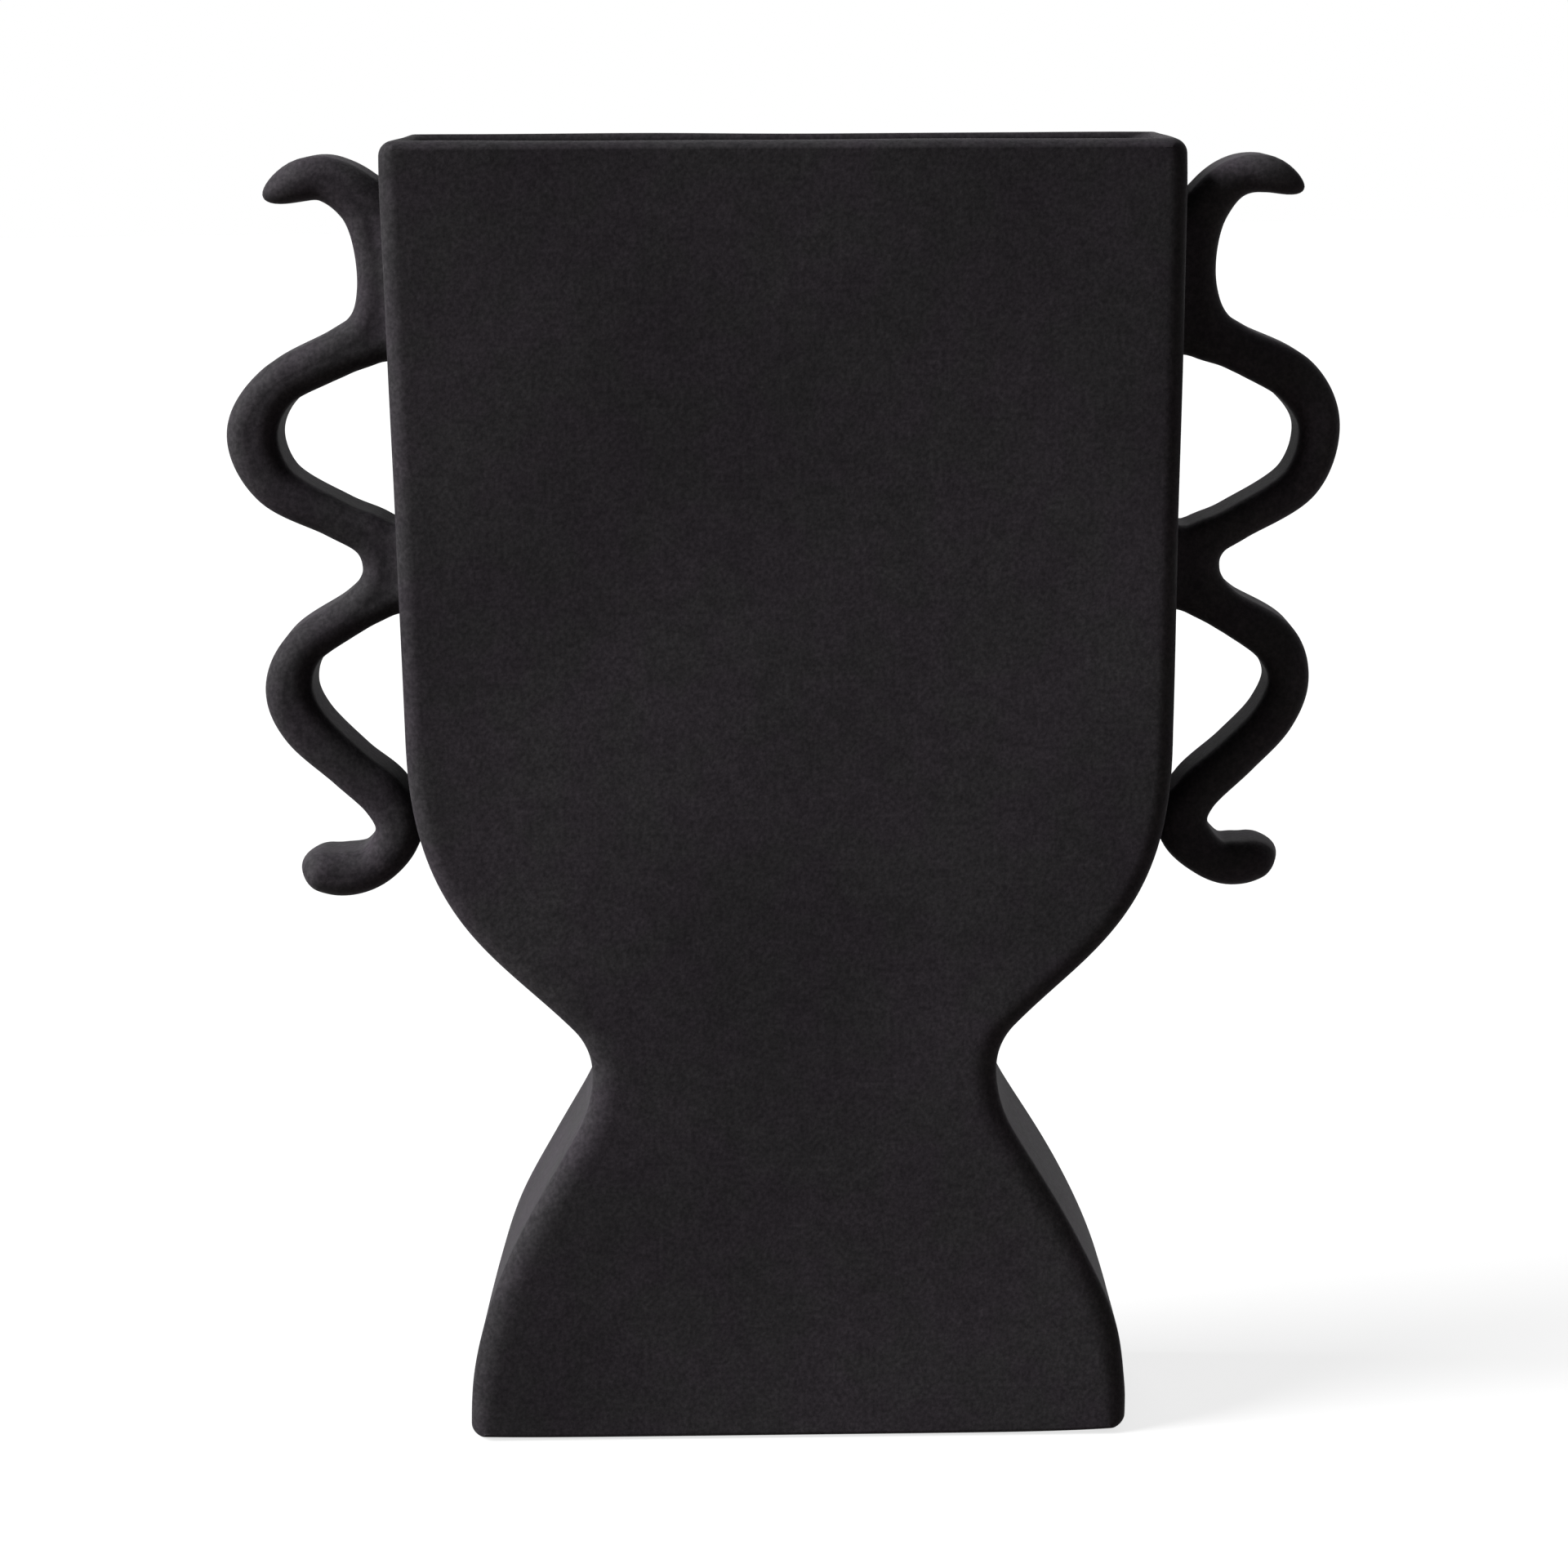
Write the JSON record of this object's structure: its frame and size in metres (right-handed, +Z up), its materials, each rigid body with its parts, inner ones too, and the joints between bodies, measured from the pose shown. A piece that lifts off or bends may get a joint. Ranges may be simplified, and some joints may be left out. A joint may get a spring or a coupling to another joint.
{
  "type": "flat vase",
  "caption": "Flat goblet-shaped vase of matte black fired clay with a slot mouth, a narrow neck, a flared foot and serpentine strip handles.",
  "frame": {"origin": "middle of the flat face that the vase stands on", "axes": "+Z up to the mouth, +X along the wide side to the viewer's right, front face towards -Y"},
  "size_m": [0.2571, 0.064, 0.3],
  "materials": {
    "body_clay": "unglazed matte black fired clay with a fine sandy grain",
    "handle_clay": "unglazed matte black fired clay with a fine sandy grain"
  },
  "bodies": {
    "root": {"front_wall": "body_clay", "rear_wall": "body_clay", "left_side_wall": "body_clay", "right_side_wall": "body_clay", "base": "body_clay", "left_handle": "handle_clay", "right_handle": "handle_clay"}
  },
  "joints": []
}
